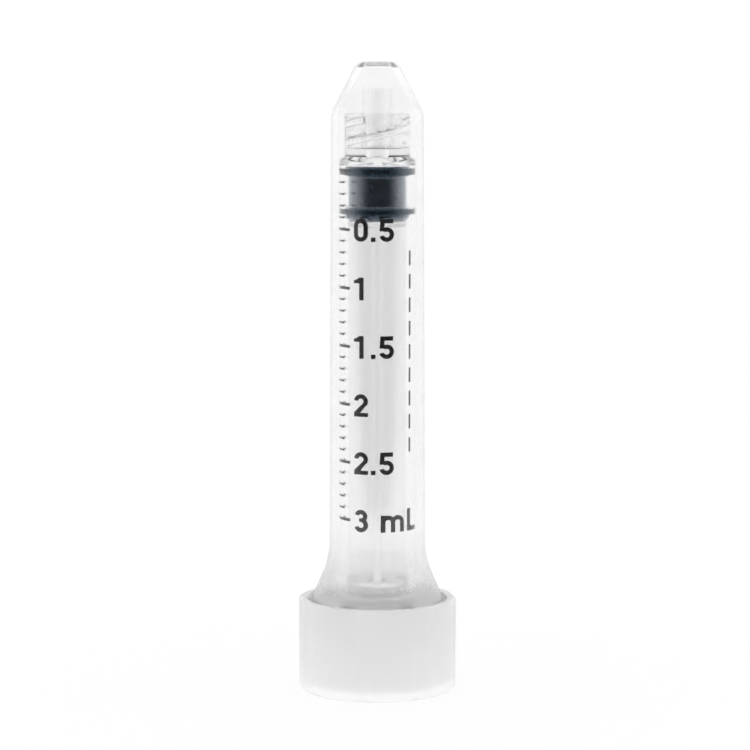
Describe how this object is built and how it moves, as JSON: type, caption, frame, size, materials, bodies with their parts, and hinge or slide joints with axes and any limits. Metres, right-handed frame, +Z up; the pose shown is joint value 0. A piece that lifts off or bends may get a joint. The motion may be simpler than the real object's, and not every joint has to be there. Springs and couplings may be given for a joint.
{
  "type": "capped luer lock syringe",
  "caption": "Small disposable syringe with lock collar, ribbed plunger and rubber stopper, closed in a clear two-piece case that stands on its cap.",
  "frame": {"origin": "centre of the case cap's flat underside, on the surface that the closed case stands on", "axes": "+Z up along the common axis towards the luer tip; the printed scale faces -Y; the finger flange's ears point along X"},
  "size_m": [0.0218, 0.0218, 0.0866],
  "materials": {
    "cap_plastic": "translucent natural polypropylene, satin",
    "sheath_plastic": "clear, slightly milky polypropylene, gloss",
    "barrel_plastic": "clear polypropylene, gloss",
    "stopper_rubber": "blue-black, siliconed, satin",
    "rod_plastic": "translucent natural polypropylene, satin",
    "scale_ink": "black printing ink"
  },
  "bodies": {
    "case_cap": {"case_cap": "cap_plastic"},
    "plunger_rod": {"plunger_rod": "rod_plastic"},
    "stopper": {"stopper": "stopper_rubber"},
    "barrel": {"barrel": "barrel_plastic", "scale_minor_marks": "scale_ink", "scale_major_marks": "scale_ink", "numeral_0_5": "scale_ink", "numeral_1": "scale_ink", "numeral_1_5": "scale_ink", "numeral_2": "scale_ink", "numeral_2_5": "scale_ink", "numeral_3": "scale_ink", "unit_label": "scale_ink", "side_dashes": "scale_ink"},
    "case_sheath": {"case_sheath": "sheath_plastic"}
  },
  "joints": [
    {"name": "lift_from_cap", "type": "slide", "parent": "case_cap", "child": "plunger_rod", "axis": [0, 0, 1], "range_m": [0, 0.02]},
    {"name": "rod_turn", "type": "hinge", "parent": "plunger_rod", "child": "stopper", "pos_m": [0, 0, 0.068], "axis": [0, 0, 1], "continuous": true},
    {"name": "plunger_draw", "type": "slide", "parent": "stopper", "child": "barrel", "axis": [0, 0, 1], "range_m": [0, 0.051]},
    {"name": "sheath_pull", "type": "slide", "parent": "barrel", "child": "case_sheath", "axis": [0, 0, 1], "range_m": [0, 0.08]}
  ]
}
